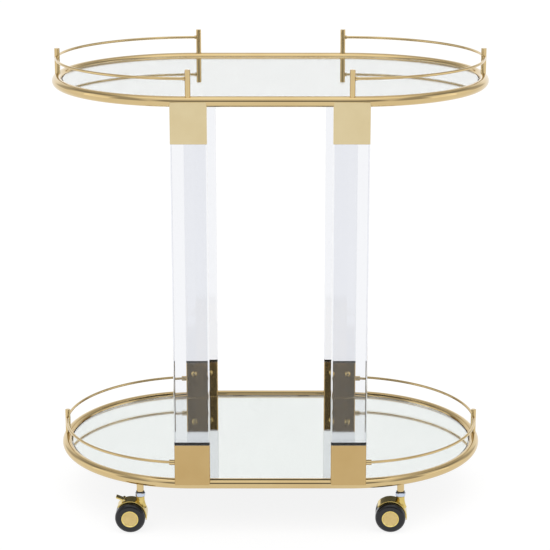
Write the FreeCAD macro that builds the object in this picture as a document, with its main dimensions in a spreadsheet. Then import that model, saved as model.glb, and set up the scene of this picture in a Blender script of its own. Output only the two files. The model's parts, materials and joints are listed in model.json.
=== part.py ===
"""Bar cart: two oval mirror trays, clear acrylic uprights and four twin-wheel swivel casters.

Millimetres, +Z up. The origin is on the floor under the middle of the cart, X runs along the
trays and -Y is the front. Every size is a named cell of the sheet "Dims" and reaches the pieces
through expressions.
"""
import FreeCAD, Part
import Sketcher
import math
import os

DIMENSIONS = [
    ("tray_length", 726, "tray tube, overall length"),
    ("tray_depth", 465, "tray tube, overall depth"),
    ("tube_dia", 17, "tray tube, outside diameter"),
    ("tube_wall", 1.5, "tray tube, wall"),
    ("tray_spacing", 633.5, "tray tubes, centre to centre"),
    ("mirror_thick", 5, "mirror glass, thickness"),
    ("mirror_rise", 3, "mirror glass, top above the tube centre"),
    ("mirror_gap", 0.5, "gap between the glass edge and the tube"),
    ("tab_length", 20, "shelf tab, length along the tube"),
    ("tab_reach", 16, "shelf tab, reach inside the tube"),
    ("tab_thick", 2, "shelf tab, thickness"),
    ("tab_share", 0.609, "shelf tabs on the straights, share of the way to the socket"),
    ("bumper_dia", 8, "clear bumper, diameter"),
    ("bumper_thick", 1, "clear bumper, thickness"),
    ("bumper_share", 0.6, "clear bumper, share of the tab's reach"),
    ("upright_inset", 3, "uprights, centre before the start of the bend"),
    ("socket_width", 58, "socket, width"),
    ("socket_depth", 23, "socket, depth"),
    ("socket_wall", 1.5, "socket, wall"),
    ("socket_corner", 2.5, "socket and upright, corner radius"),
    ("socket_proud", 0.25, "socket face, how far it stands outside the tube"),
    ("lower_socket_rise", 69, "lower socket, top above the tube centre"),
    ("upper_socket_drop", 66, "upper socket, bottom below the tube centre"),
    ("socket_seat_gap", 0.1, "gap between a socket's inner wall and the glass"),
    ("tenon_fit", 0.15, "acrylic tenon, clearance in the socket all round"),
    ("tenon_end_gap", 1, "gap between the tenon's end and the tube"),
    ("screw_dia", 6, "socket screw, shank diameter"),
    ("screw_length", 14, "socket screw, shank length"),
    ("screw_fit", 0.2, "socket screw, clearance in its hole all round"),
    ("screw_head_dia", 10.5, "socket screw, head diameter"),
    ("screw_head_rise", 3.3, "socket screw, head height"),
    ("screw_head_edge", 0.825, "socket screw, upright edge of the head"),
    ("screw_head_round", 4.41, "socket screw, radius of the head's shoulder"),
    ("screw_hex", 4, "socket screw, hexagon across the flats"),
    ("screw_hex_depth", 2, "socket screw, hexagon depth"),
    ("screw_spacing", 29, "socket screws, spacing"),
    ("screw_inset", 20.5, "socket screws, distance from the socket's free edge"),
    ("post_dia", 8.8, "gallery post, diameter"),
    ("post_rise", 50, "gallery post, top above the tube centre"),
    ("post_chamfer", 0.5, "gallery post, top edge chamfer"),
    ("side_post_inset", 2.5, "side posts, distance from the start of the bend"),
    ("rail_dia", 4.5, "gallery rail, diameter"),
    ("rail_rise", 36, "gallery rail, centre above the tube centre"),
    ("collar_dia", 6.4, "rail collar, diameter"),
    ("collar_length", 3, "rail collar, length"),
    ("ferrule_dia", 8.8, "rail ferrule, diameter"),
    ("ferrule_length", 9, "rail ferrule, length"),
    ("rail_end_gap", 1, "gap between a lower rail's end and the socket, inside the ferrule"),
    ("caster_overhang", 84.5, "caster stem, centre beyond the start of the bend"),
    ("boss_dia", 11.7, "caster boss, diameter"),
    ("boss_length", 11.1, "caster boss, length below the tube"),
    ("stud_dia", 8, "caster stud, diameter"),
    ("stud_end_gap", 1, "gap between the caster stud's end and the tube"),
    ("stud_fit", 0.1, "caster stud, clearance in the boss all round"),
    ("washer_dia", 13.4, "caster washer, diameter"),
    ("washer_thick", 2, "caster washer, thickness"),
    ("stem_collar_dia", 16.4, "stem collar, diameter"),
    ("stem_collar_height", 6.6, "stem collar, height"),
    ("stem_collar_chamfer", 0.96, "stem collar, edge chamfer"),
    ("swivel_dia", 6, "swivel pin, diameter"),
    ("swivel_length", 18, "swivel pin, length below the collar"),
    ("swivel_gap", 0.4, "gap between the stem collar and the hood"),
    ("wheel_dia", 50, "wheel, diameter"),
    ("wheel_width", 18, "wheel, width"),
    ("wheel_shoulder", 6.5, "wheel, outer shoulder radius"),
    ("wheel_chamfer", 0.8, "wheel, inner edge chamfer"),
    ("wheel_trail", 16, "swivel axis to wheel axle"),
    ("axle_dia", 6, "axle, diameter"),
    ("axle_end_gap", 0.4, "gap between the axle's end and the hub cap"),
    ("running_fit", 0.06, "radial clearance of the axle and the swivel pin"),
    ("web_thick", 9, "hood web between the wheels, thickness"),
    ("wheel_gap", 0.5, "gap between the hood web and a wheel"),
    ("cap_dia", 28, "hub cap, diameter"),
    ("cap_recess", 1.8, "hub cap, recess depth in the wheel"),
    ("cap_fit", 0.1, "hub cap, clearance in its recess all round"),
    ("cap_rim_rise", 0.5, "hub cap, rim above the wheel's face"),
    ("cap_rim_width", 1.9, "hub cap, rim width"),
    ("cap_rim_bevel", 0.4, "hub cap, outer edge bevel"),
    ("cap_crown", 0.5, "hub cap, crown of the middle"),
    ("cap_field_drop", 0.1, "hub cap, edge of the middle below the wheel's face"),
    ("hood_gap", 0.7, "gap between the hood and the tread"),
    ("hood_wall", 1.5, "hood, wall"),
    ("hood_width", 26, "hood, width"),
    ("hood_round", 0.9, "hood, radius of its two long outer edges"),
    ("hood_lead_angle", -10, "hood, leading edge below the axle"),
    ("hood_trail_angle", 142, "hood, trailing edge above the axle"),
    ("axle_lug_dia", 13, "axle lug of the hood web, diameter"),
    ("lug_trail_angle", 200, "axle lug, where its round begins"),
    ("lug_lead_angle", -50, "axle lug, where its round ends"),
    ("neck_lift", 5.2, "hood neck, top above the hood's crown"),
    ("neck_height", 6.2, "hood neck, straight height above the flare"),
    ("neck_dia", 14, "hood neck, diameter at the top"),
    ("neck_flare_dia", 21, "hood neck, diameter where it meets the hood"),
    ("neck_flare_height", 12.6, "hood neck, height of the flare"),
    ("neck_flare_radius", 44, "hood neck, radius of the flare's hollow"),
    ("lever_width", 12, "brake lever, width"),
    ("lever_reach", 12.8, "brake lever, reach from its pin"),
    ("lever_thick", 2.2, "brake lever, thickness"),
    ("lever_rise_angle", 22, "brake lever, upward angle at rest"),
    ("lever_barrel_dia", 4.6, "brake lever, barrel diameter"),
    ("lever_gap", 0.4, "brake lever, clearance on each side"),
    ("lever_pin_dia", 2, "brake lever pin, diameter"),
    ("lever_pin_height", 1.4, "brake lever pin, centre above the hood surface"),
    ("lever_pin_angle", 113, "brake lever pin, place round the axle"),
    ("lever_window_dia", 8.4, "window in the hood round the lever's barrel, diameter"),
    ("lever_foot", 2.8, "brake lever, foot length below its pin"),
    ("lever_foot_width", 3, "brake lever, foot width"),
    ("lever_ear_dia", 5.4, "brake lever ear, diameter round the pin"),
    ("lever_ear_thick", 2, "brake lever ear, thickness"),
    ("lever_ear_spread", 9, "brake lever ear, half its base in degrees round the axle"),
    ("lever_ear_root", 0.5, "brake lever ear, root above the hood's inner face"),
]

doc = FreeCAD.newDocument("bar_cart")
dims = doc.addObject("Spreadsheet::Sheet", "Dims")
for row, (alias, value, meaning) in enumerate(DIMENSIONS, start=1):
    dims.set(f"A{row}", meaning)
    dims.set(f"B{row}", str(value))
    dims.setAlias(f"B{row}", alias)
doc.recompute()

# ---- shared measures, as expressions on the sheet ----
TUBE_R = "(Dims.tube_dia / 2)"
BEND_R = "((Dims.tray_depth - Dims.tube_dia) / 2)"
STRAIGHT = "((Dims.tray_length - Dims.tray_depth) / 2)"
MIRROR_BOTTOM = "(Dims.mirror_rise - Dims.mirror_thick)"
SOCKET_FACE = f"({TUBE_R} + Dims.socket_proud)"
SOCKET_BACK = f"(Dims.socket_depth - {SOCKET_FACE})"
POST_R = "(Dims.post_dia / 2)"
RAIL_R = "(Dims.rail_dia / 2)"
WHEEL_R = "(Dims.wheel_dia / 2)"
HOOD_IN_R = f"({WHEEL_R} + Dims.hood_gap)"
HOOD_OUT_R = f"({HOOD_IN_R} + Dims.hood_wall)"
WHEEL_START = "(Dims.web_thick / 2 + Dims.wheel_gap)"
WHEEL_END = f"({WHEEL_START} + Dims.wheel_width)"
PIN_R = f"({HOOD_OUT_R} + Dims.lever_pin_height)"
PIN_X = f"({PIN_R} * cos(Dims.lever_pin_angle))"
PIN_Z = f"({PIN_R} * sin(Dims.lever_pin_angle))"

# The heights stack up from the wheel: hood, stem collar, washer, boss and the lower tray's tube.
NECK_TOP = f"({WHEEL_R} + {HOOD_OUT_R} + Dims.neck_lift)"
COLLAR_BASE = f"({NECK_TOP} + Dims.swivel_gap)"
COLLAR_TOP = f"({COLLAR_BASE} + Dims.stem_collar_height)"
BOSS_BASE = f"({COLLAR_TOP} + Dims.washer_thick)"
TUBE_UNDERSIDE = f"({BOSS_BASE} + Dims.boss_length)"
STUD_TOP = f"({TUBE_UNDERSIDE} - Dims.stud_end_gap)"
LOWER_TRAY = f"({TUBE_UNDERSIDE} + {TUBE_R})"
UPPER_TRAY = f"({LOWER_TRAY} + Dims.tray_spacing)"
TRAYS = {"upper": UPPER_TRAY, "lower": LOWER_TRAY}

# Places along X are counted from where the bends start.
UPRIGHT_X = f"({STRAIGHT} - Dims.upright_inset)"
TAB_X = f"(({UPRIGHT_X} - Dims.socket_width / 2) * Dims.tab_share)"
CASTER_X = f"({STRAIGHT} + Dims.caster_overhang)"

# Where each corner of the cart is: name, side along X, side along Y.
CORNERS = [("front_left", -1, -1), ("front_right", 1, -1), ("rear_left", -1, 1), ("rear_right", 1, 1)]
# How far each caster has swivelled about its stem at rest, in degrees.
CASTER_TURN = {"front_left": -1, "front_right": -4, "rear_left": 4, "rear_right": 7}
BRAKED_CASTERS = ("front_left", "rear_left")

sub_parts = []


def number(expression):
    """The present value of an expression on the sheet."""
    return float(getattr(dims.evalExpression(expression), "Value", dims.evalExpression(expression)))


def centreline_y(offset):
    """Distance of the tray tube's centreline from the long axis, at an offset from the middle."""
    return f"sqrt({BEND_R}^2 - max(0; {offset} - {STRAIGHT})^2)"


def bind(thing, **expressions):
    for name, expression in expressions.items():
        thing.setExpression(name, expression)


def place(thing, x="0", y="0", z="0", axis="0; 0; 1", angle="0"):
    """Put a thing at x, y, z, turned by an angle in degrees about an axis."""
    spot = f"placement(vector({x}; {y}; {z}); rotation(vector({axis}); {angle}))"
    thing.setExpression("Placement", spot)
    return thing


def keep(thing, label):
    """Name a finished sub-part and put it on the list of files to write."""
    thing.Label = label
    sub_parts.append(thing)
    return thing


def cut(name, base, *tools):
    result = doc.addObject("Part::Cut", name)
    result.Base = base
    result.Tool = tools[0] if len(tools) == 1 else group(name + "_tools", tools)
    return result


def fuse(name, pieces):
    result = doc.addObject("Part::MultiFuse", name)
    result.Shapes = pieces
    result.Refine = True
    return result


def group(name, pieces):
    result = doc.addObject("Part::Compound", name)
    result.Links = list(pieces)
    return result


def copies(name, piece, places):
    """A group of like pieces, one at each place."""
    links = []
    for index, where in enumerate(places, start=1):
        link = doc.addObject("App::Link", f"{name}_{index}")
        link.LinkedObject = piece
        links.append(place(link, **where))
    return group(name, links)


def body(name):
    return doc.addObject("PartDesign::Body", name)


def sketch(owner, plane, offset="0", slide="0"):
    """A sketch on one of a body's own origin planes, moved off the plane and along its first axis."""
    base = next(item for item in owner.Origin.OriginFeatures if item.Role == plane + "_Plane")
    made = owner.newObject("Sketcher::SketchObject", owner.Name + "_sketch")
    made.AttachmentSupport = [(base, "")]
    made.MapMode = "FlatFace"
    made.setExpression("AttachmentOffset", f"placement(vector({slide}; 0; {offset}); rotation(vector(0; 0; 1); 0))")
    return made


def pin_point(target, edge, end, x, y):
    """Hold one end of an edge at x, y from the sketch's origin."""
    for kind, expression in (("DistanceX", x), ("DistanceY", y)):
        index = target.addConstraint(Sketcher.Constraint(kind, -1, 1, edge, end, number(expression)))
        target.setExpression(f"Constraints[{index}]", expression)


def outline(target, corners):
    """A closed outline. A corner is (x, y), or (x, y, radius) when an arc leads to the next one.

    A positive radius turns to the left, a negative one to the right.
    """
    count = len(corners)
    points = [FreeCAD.Vector(number(corner[0]), number(corner[1]), 0) for corner in corners]
    for index, corner in enumerate(corners):
        first = points[index]
        last = points[(index + 1) % count]
        if len(corner) == 2:
            target.addGeometry(Part.LineSegment(first, last), False)
            continue
        radius = number(corner[2])
        chord = last - first
        side = FreeCAD.Vector(-chord.y, chord.x, 0).normalize() * (1 if radius > 0 else -1)
        reach = math.sqrt(max(0, radius ** 2 - chord.Length ** 2 / 4))
        circle = Part.Circle((first + last) / 2 + side * reach, FreeCAD.Vector(0, 0, 1), abs(radius))
        start, end = (first, last) if radius > 0 else (last, first)
        arc = Part.ArcOfCircle(circle, circle.parameter(start), circle.parameter(end))
        target.addGeometry(arc, False)
    for index, corner in enumerate(corners):
        flipped = len(corner) == 3 and number(corner[2]) < 0
        before = corners[index - 1]
        before_flipped = len(before) == 3 and number(before[2]) < 0
        start = 2 if flipped else 1
        pin_point(target, index, start, corner[0], corner[1])
        joint = ("Coincident", (index - 1) % count, 1 if before_flipped else 2, index, start)
        target.addConstraint(Sketcher.Constraint(*joint))
        if len(corner) == 3:
            held = target.addConstraint(Sketcher.Constraint("Radius", index, abs(number(corner[2]))))
            target.setExpression(f"Constraints[{held}]", f"abs({corner[2]})")
    return target


def rectangle(target, x_low, x_high, y_low, y_high):
    return outline(target, [(x_low, y_low), (x_high, y_low), (x_high, y_high), (x_low, y_high)])


def circle(target, x, y, diameter):
    """A circle whose centre and diameter follow the sheet."""
    spot = FreeCAD.Vector(number(x), number(y), 0)
    index = target.addGeometry(Part.Circle(spot, FreeCAD.Vector(0, 0, 1), number(diameter) / 2), False)
    pin_point(target, index, 3, x, y)
    held = target.addConstraint(Sketcher.Constraint("Diameter", index, number(diameter)))
    target.setExpression(f"Constraints[{held}]", diameter)
    return target


def pad(owner, profile, length, symmetric=False):
    made = owner.newObject("PartDesign::Pad", owner.Name + "_pad")
    made.Profile = profile
    made.SideType = "Symmetric" if symmetric else "One side"
    made.setExpression("Length", length)
    return made


def pocket(owner, profile, length=None, symmetric=False, flipped=False):
    """Cut a profile out of a body, and make sure that it did cut."""
    doc.recompute()
    before = owner.Shape.Volume
    made = owner.newObject("PartDesign::Pocket", owner.Name + "_pocket")
    made.Profile = profile
    made.SideType = "Symmetric" if symmetric else "One side"
    made.Reversed = flipped
    if length is None:
        made.Type = "ThroughAll"
    else:
        made.setExpression("Length", length)
    doc.recompute()
    if owner.Shape.Volume > before - 1e-3:
        raise RuntimeError(f"{made.Name} cuts nothing")
    return made


def turn(owner, profile):
    """A full revolution of a profile about its sketch's upright axis."""
    made = owner.newObject("PartDesign::Revolution", owner.Name + "_turning")
    made.Profile = profile
    made.ReferenceAxis = (profile, ["V_Axis"])
    made.Angle = 360
    return made


def round_edges(owner, feature, chosen, radius):
    """Fillet the edges of a feature that a test picks out."""
    doc.recompute()
    names = [f"Edge{index}" for index, edge in enumerate(feature.Shape.Edges, start=1) if chosen(edge)]
    made = owner.newObject("PartDesign::Fillet", owner.Name + "_fillet")
    made.Base = (feature, names)
    made.setExpression("Radius", radius)
    return made


def bar_along_x(name, start, length, y, z, radius):
    bar = doc.addObject("Part::Cylinder", name)
    bind(bar, Radius=radius, Height=length)
    return place(bar, x=start, y=y, z=z, axis="0; 1; 0", angle="90")


def bent_bar(name, side, z, radius, sweep="180"):
    """A round bar bent round one end of a tray, the middle of its sweep on the long axis."""
    bend = doc.addObject("Part::Torus", name)
    bind(bend, Radius1=BEND_R, Radius2=radius, Angle3=sweep)
    middle = 0 if side > 0 else 180
    return place(bend, x=f"{side} * {STRAIGHT}", z=z, angle=f"{middle} - ({sweep}) / 2")


def tray_loop(name, z, radius):
    """A round bar all along the tray's outline: two bends and two straights."""
    pieces = [bent_bar(name + "_left_bend", -1, z, radius), bent_bar(name + "_right_bend", 1, z, radius)]
    for label, side in (("front", -1), ("rear", 1)):
        pieces.append(bar_along_x(f"{name}_{label}", f"-{STRAIGHT}", f"2 * {STRAIGHT}",
                                  f"{side} * {BEND_R}", z, radius))
    return fuse(name, pieces)


def mirror(name, z):
    """A mirror-glass plate with round ends that fills the tray inside the tube."""
    glass = body(name)
    profile = sketch(glass, "XY")
    end_r = f"({BEND_R} - {TUBE_R} - Dims.mirror_gap)"
    outline(profile, [
        (f"-{STRAIGHT}", f"-{end_r}"),
        (STRAIGHT, f"-{end_r}", end_r),
        (f"{STRAIGHT} + {end_r}", "0", end_r),
        (STRAIGHT, end_r),
        (f"-{STRAIGHT}", end_r, end_r),
        (f"-({STRAIGHT} + {end_r})", "0", end_r),
    ])
    pad(glass, profile, "Dims.mirror_thick")
    return place(glass, z=f"{z} + {MIRROR_BOTTOM}")


def socket(name, free_edge, seat):
    """A rectangular sleeve, closed towards the tray by the tube that it is coped over.

    Its local origin is on the tube's centreline. free_edge is the height of its open end, and
    seat the height at which its inner wall stops at the glass; both are below 0 when it hangs.
    """
    sleeve = body(name)
    side = sketch(sleeve, "YZ")
    shell = outline(side, [
        (f"-{SOCKET_FACE}", "0"), ("0", "0"), ("0", seat), (SOCKET_BACK, seat),
        (SOCKET_BACK, free_edge), (f"-{SOCKET_FACE}", free_edge),
    ])
    blank = pad(sleeve, shell, "Dims.socket_width", symmetric=True)
    faces = (-number(SOCKET_FACE), number(SOCKET_BACK))

    def is_corner(edge):
        first, last = edge.Vertexes[0].Point, edge.Vertexes[-1].Point
        upright = abs(first.x - last.x) < 1e-6 and abs(first.y - last.y) < 1e-6
        return upright and min(abs(first.y - face) for face in faces) < 1e-6

    round_edges(sleeve, blank, is_corner, "Dims.socket_corner")
    half_x = "(Dims.socket_width / 2 - Dims.socket_wall)"
    inside = sketch(sleeve, "XY")
    rectangle(inside, f"-{half_x}", half_x, f"Dims.socket_wall - {SOCKET_FACE}",
              f"{SOCKET_BACK} - Dims.socket_wall")
    pocket(sleeve, inside, symmetric=True)
    toward_tray = -1 if number(free_edge) > 0 else 1
    holes = sketch(sleeve, "XZ")
    for along in (-1, 1):
        circle(holes, f"{along} * Dims.screw_spacing / 2", f"{free_edge} + {toward_tray} * Dims.screw_inset",
               "Dims.screw_dia + 2 * Dims.screw_fit")
    pocket(sleeve, holes, "2 * Dims.socket_depth")
    return sleeve


def upright(name):
    """A clear acrylic bar, as thick as its sockets outside, with a thinner tenon at each end."""
    shoulder = f"({LOWER_TRAY} + Dims.lower_socket_rise)"
    top_shoulder = f"({UPPER_TRAY} - Dims.upper_socket_drop)"
    foot = f"({LOWER_TRAY} + {TUBE_R} + Dims.tenon_end_gap)"
    head = f"({UPPER_TRAY} - {TUBE_R} - Dims.tenon_end_gap)"
    acrylic = body(name)
    section = sketch(acrylic, "XY", offset=shoulder)
    half_x = "(Dims.socket_width / 2)"
    rectangle(section, f"-{half_x}", half_x, f"-{SOCKET_FACE}", SOCKET_BACK)
    middle = pad(acrylic, section, f"{top_shoulder} - {shoulder}")

    def is_upright(edge):
        return abs(edge.Vertexes[0].Z - edge.Vertexes[-1].Z) > 1

    round_edges(acrylic, middle, is_upright, "Dims.socket_corner")
    inset = "(Dims.socket_wall + Dims.tenon_fit)"
    tenon = sketch(acrylic, "XY", offset=foot)
    rectangle(tenon, f"{inset} - {half_x}", f"{half_x} - {inset}", f"{inset} - {SOCKET_FACE}",
              f"{SOCKET_BACK} - {inset}")
    pad(acrylic, tenon, f"{head} - {foot}")
    holes = sketch(acrylic, "XZ", offset=f"Dims.screw_length - {SOCKET_BACK} + Dims.screw_fit")
    for height in (f"{shoulder} - Dims.screw_inset", f"{top_shoulder} + Dims.screw_inset"):
        for along in (-1, 1):
            circle(holes, f"{along} * Dims.screw_spacing / 2", height, "Dims.screw_dia + Dims.screw_fit")
    pocket(acrylic, holes, "2 * Dims.screw_length")
    return acrylic


def socket_screw():
    """A button-head screw with a hexagon socket, seated at z = 0 with its head up."""
    screw = body("socket_screw")
    shank_r = "Dims.screw_dia / 2"
    head_r = "Dims.screw_head_dia / 2"
    half = sketch(screw, "XZ")
    outline(half, [
        ("0", "-Dims.screw_length"),
        (shank_r, "-Dims.screw_length"),
        (shank_r, "0"),
        (head_r, "0"),
        (head_r, "Dims.screw_head_edge", "Dims.screw_head_round"),
        (f"{head_r} / 2", "Dims.screw_head_rise"),
        ("0", "Dims.screw_head_rise"),
    ])
    turn(screw, half)
    key = sketch(screw, "XY", offset="Dims.screw_head_rise")
    corner_r = "Dims.screw_hex / 2 / cos(30)"
    outline(key, [(f"{corner_r} * cos({60 * step})", f"{corner_r} * sin({60 * step})") for step in range(6)])
    pocket(screw, key, "Dims.screw_hex_depth")
    return screw


def screw_places():
    """Two screws in the inner wall of each socket, heads towards the middle of the cart."""
    places = []
    heights = (f"{LOWER_TRAY} + Dims.lower_socket_rise - Dims.screw_inset",
               f"{UPPER_TRAY} - Dims.upper_socket_drop + Dims.screw_inset")
    for name, side_x, side_y in CORNERS:
        inner_face = f"{side_y} * ({centreline_y(UPRIGHT_X)} - {SOCKET_BACK})"
        for height in heights:
            for along in (-1, 1):
                x = f"{side_x} * {UPRIGHT_X} + {along} * Dims.screw_spacing / 2"
                places.append({"x": x, "y": inner_face, "z": height,
                               "axis": "1; 0; 0", "angle": f"{side_y} * 90"})
    return places


def turned(name, corners):
    """A piece turned on a lathe about Z. Its outline is in (radius, height)."""
    piece = body(name)
    turn(piece, outline(sketch(piece, "XZ"), corners))
    return piece


def gallery_post():
    return turned("gallery_post", [
        ("0", "0"),
        (POST_R, "0"),
        (POST_R, "Dims.post_rise - Dims.post_chamfer"),
        (f"{POST_R} - Dims.post_chamfer", "Dims.post_rise"),
        ("0", "Dims.post_rise"),
    ])


def shelf_tab():
    """A flat tab that runs inwards (+Y) from the tube and carries the glass on a bumper."""
    tab = doc.addObject("Part::Box", "shelf_tab")
    bind(tab, Length="Dims.tab_length", Width=f"{TUBE_R} / 2 + Dims.tab_reach", Height="Dims.tab_thick")
    top = f"({MIRROR_BOTTOM} - Dims.bumper_thick)"
    return place(tab, x="-Dims.tab_length / 2", y=f"{TUBE_R} / 2", z=f"{top} - Dims.tab_thick")


def tab_places(z):
    """Two tabs on each straight and one at each end of a tray."""
    places = []
    for side_x in (-1, 1):
        spot = {"x": f"{side_x} * ({STRAIGHT} + {BEND_R})", "z": z, "angle": f"{90 * side_x}"}
        places.append(spot)
        for side_y in (-1, 1):
            turned_by = "0" if side_y < 0 else "180"
            places.append({"x": f"{side_x} * {TAB_X}", "y": f"{side_y} * {BEND_R}", "z": z,
                           "angle": turned_by})
    return places


def stem():
    """Threaded stud, round collar and swivel pin in one turned piece, at its height in the cart."""
    stud_r = "Dims.stud_dia / 2"
    collar_r = "Dims.stem_collar_dia / 2"
    pin_r = "Dims.swivel_dia / 2"
    pin_end = f"{COLLAR_BASE} - Dims.swivel_length"
    edge = "Dims.stem_collar_chamfer"
    return turned("stem", [
        ("0", pin_end),
        (pin_r, pin_end),
        (pin_r, COLLAR_BASE),
        (f"{collar_r} - {edge}", COLLAR_BASE),
        (collar_r, f"{COLLAR_BASE} + {edge}"),
        (collar_r, f"{COLLAR_TOP} - {edge}"),
        (f"{collar_r} - {edge}", COLLAR_TOP),
        (stud_r, COLLAR_TOP),
        (stud_r, STUD_TOP),
        ("0", STUD_TOP),
    ])


def caster_boss():
    """A tapped boss that is welded under the tube, at its height in the cart."""
    bore_r = "(Dims.stud_dia / 2 + Dims.stud_fit)"
    bore_top = f"({STUD_TOP} + Dims.stud_fit)"
    return turned("caster_boss", [
        (bore_r, BOSS_BASE),
        ("Dims.boss_dia / 2", BOSS_BASE),
        ("Dims.boss_dia / 2", LOWER_TRAY),
        ("0", LOWER_TRAY),
        ("0", bore_top),
        (bore_r, bore_top),
    ])


def caster_washer():
    bore_r = "(Dims.stud_dia / 2 + Dims.stud_fit)"
    return turned("caster_washer", [
        (bore_r, COLLAR_TOP), ("Dims.washer_dia / 2", COLLAR_TOP),
        ("Dims.washer_dia / 2", BOSS_BASE), (bore_r, BOSS_BASE),
    ])


def stem_place(side_x, side_y):
    return {"x": f"{side_x} * {CASTER_X}", "y": f"{side_y} * {centreline_y(CASTER_X)}"}


def axle_place(corner, side_x, side_y, half_turn=0):
    """The middle of a caster's axle, with local X towards the stem and local Y along the axle."""
    angle = CASTER_TURN[corner]
    stem_at = stem_place(side_x, side_y)
    return {
        "x": f"{stem_at['x']} - Dims.wheel_trail * cos({angle})",
        "y": f"{stem_at['y']} - Dims.wheel_trail * sin({angle})",
        "z": WHEEL_R,
        "angle": str(angle + half_turn),
    }


def polar(radius, angle):
    return f"({radius}) * cos({angle})", f"({radius}) * sin({angle})"


def hood(name, braked):
    """The caster's swivelling hood: neck, curved cover and the web that holds the axle.

    Its local origin is in the middle of the axle, with the neck on the +X side.
    """
    shell = body(name)
    top = f"({NECK_TOP} - {WHEEL_R})"
    flare_top = f"({top} - Dims.neck_height)"
    flare_low = f"({flare_top} - Dims.neck_flare_height)"
    neck = sketch(shell, "XZ", slide="Dims.wheel_trail")
    outline(neck, [
        ("0", flare_low),
        ("Dims.neck_flare_dia / 2", flare_low, "-Dims.neck_flare_radius"),
        ("Dims.neck_dia / 2", flare_top),
        ("Dims.neck_dia / 2", top),
        ("0", top),
    ])
    turn(shell, neck)
    cover = sketch(shell, "XZ")
    lead, trail = "Dims.hood_lead_angle", "Dims.hood_trail_angle"
    outline(cover, [
        polar(HOOD_IN_R, lead),
        polar(HOOD_OUT_R, lead) + (HOOD_OUT_R,),
        polar(HOOD_OUT_R, "90") + (HOOD_OUT_R,),
        polar(HOOD_OUT_R, trail),
        polar(HOOD_IN_R, trail) + (f"-{HOOD_IN_R}",),
        polar(HOOD_IN_R, "90") + (f"-{HOOD_IN_R}",),
    ])
    curved = pad(shell, cover, "Dims.hood_width", symmetric=True)
    outer_radius = number(HOOD_OUT_R)

    def is_long_edge(edge):
        return isinstance(edge.Curve, Part.Circle) and abs(edge.Curve.Radius - outer_radius) < 1e-6

    round_edges(shell, curved, is_long_edge, "Dims.hood_round")
    wells = {"length": "Dims.hood_width", "symmetric": False}
    for away in (-1, 1):
        well = sketch(shell, "XZ", offset=f"{away} * Dims.web_thick / 2")
        circle(well, "0", "0", f"2 * {HOOD_IN_R}")
        pocket(shell, well, flipped=away > 0, **wells)
    web = sketch(shell, "XZ")
    lug_r = "(Dims.axle_lug_dia / 2)"
    web_r = f"({HOOD_IN_R} + Dims.hood_wall / 2)"
    outline(web, [
        polar(web_r, lead) + (web_r,),
        polar(web_r, "90") + (web_r,),
        polar(web_r, trail),
        polar(lug_r, "Dims.lug_trail_angle") + (lug_r,),
        polar(lug_r, "Dims.lug_lead_angle"),
    ])
    pad(shell, web, "Dims.web_thick", symmetric=True)
    if braked:
        add_lever_ears(shell)
    swivel_bore = sketch(shell, "XY", offset=top)
    circle(swivel_bore, "Dims.wheel_trail", "0", "Dims.swivel_dia + 2 * Dims.running_fit")
    pocket(shell, swivel_bore, "Dims.swivel_length + Dims.swivel_gap")
    axle_bore = sketch(shell, "XZ")
    circle(axle_bore, "0", "0", "Dims.axle_dia")
    pocket(shell, axle_bore, symmetric=True)
    return shell


def add_lever_ears(shell):
    """Two ears on top of the hood that hold the brake lever's pin, and the window between them."""
    ear_r = "(Dims.lever_ear_dia / 2)"
    inner_half = "(Dims.lever_width / 2 + Dims.lever_gap)"
    ears = sketch(shell, "XZ")
    spread = "Dims.lever_pin_angle"
    foot_r = f"{HOOD_IN_R} + Dims.lever_ear_root"
    outline(ears, [
        polar(foot_r, f"{spread} - Dims.lever_ear_spread"),
        (f"{PIN_X} + {ear_r}", PIN_Z, ear_r),
        (PIN_X, f"{PIN_Z} + {ear_r}", ear_r),
        (f"{PIN_X} - {ear_r}", PIN_Z),
        polar(foot_r, f"{spread} + Dims.lever_ear_spread"),
    ])
    pad(shell, ears, f"2 * ({inner_half} + Dims.lever_ear_thick)", symmetric=True)
    window = sketch(shell, "XZ")
    circle(window, PIN_X, PIN_Z, "Dims.lever_window_dia")
    pocket(shell, window, f"2 * {inner_half}", symmetric=True)
    pin_hole = sketch(shell, "XZ")
    circle(pin_hole, PIN_X, PIN_Z, "Dims.lever_pin_dia")
    pocket(shell, pin_hole, symmetric=True)


def brake_lever(name):
    """A stepped lever: a barrel on the pin and a flat tread that points up and back."""
    lever = body(name)
    rise = "(180 - Dims.lever_rise_angle)"
    half = "(Dims.lever_thick / 2)"
    barrel_r = "(Dims.lever_barrel_dia / 2)"

    def along(distance, lift):
        x = f"{PIN_X} + ({distance}) * cos({rise}) - ({lift}) * sin({rise})"
        z = f"{PIN_Z} + ({distance}) * sin({rise}) + ({lift}) * cos({rise})"
        return x, z

    barrel = sketch(lever, "XZ")
    circle(barrel, PIN_X, PIN_Z, "Dims.lever_barrel_dia")
    pad(lever, barrel, "Dims.lever_width", symmetric=True)
    tread = sketch(lever, "XZ")
    outline(tread, [
        along("0", half), along("0", f"-{half}"),
        along("Dims.lever_reach", f"-{half}") + (half,),
        along(f"Dims.lever_reach + {half}", "0") + (half,),
        along("Dims.lever_reach", half),
    ])
    pad(lever, tread, "Dims.lever_width", symmetric=True)
    foot = sketch(lever, "XZ")
    half_foot = "(Dims.lever_foot_width / 2)"
    rectangle(foot, f"{PIN_X} - {half_foot}", f"{PIN_X} + {half_foot}", f"{PIN_Z} - Dims.lever_foot", PIN_Z)
    pad(lever, foot, "Dims.lever_width", symmetric=True)
    hole = sketch(lever, "XZ")
    circle(hole, PIN_X, PIN_Z, "Dims.lever_pin_dia + 2 * Dims.running_fit")
    pocket(lever, hole, symmetric=True)
    return lever


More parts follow.
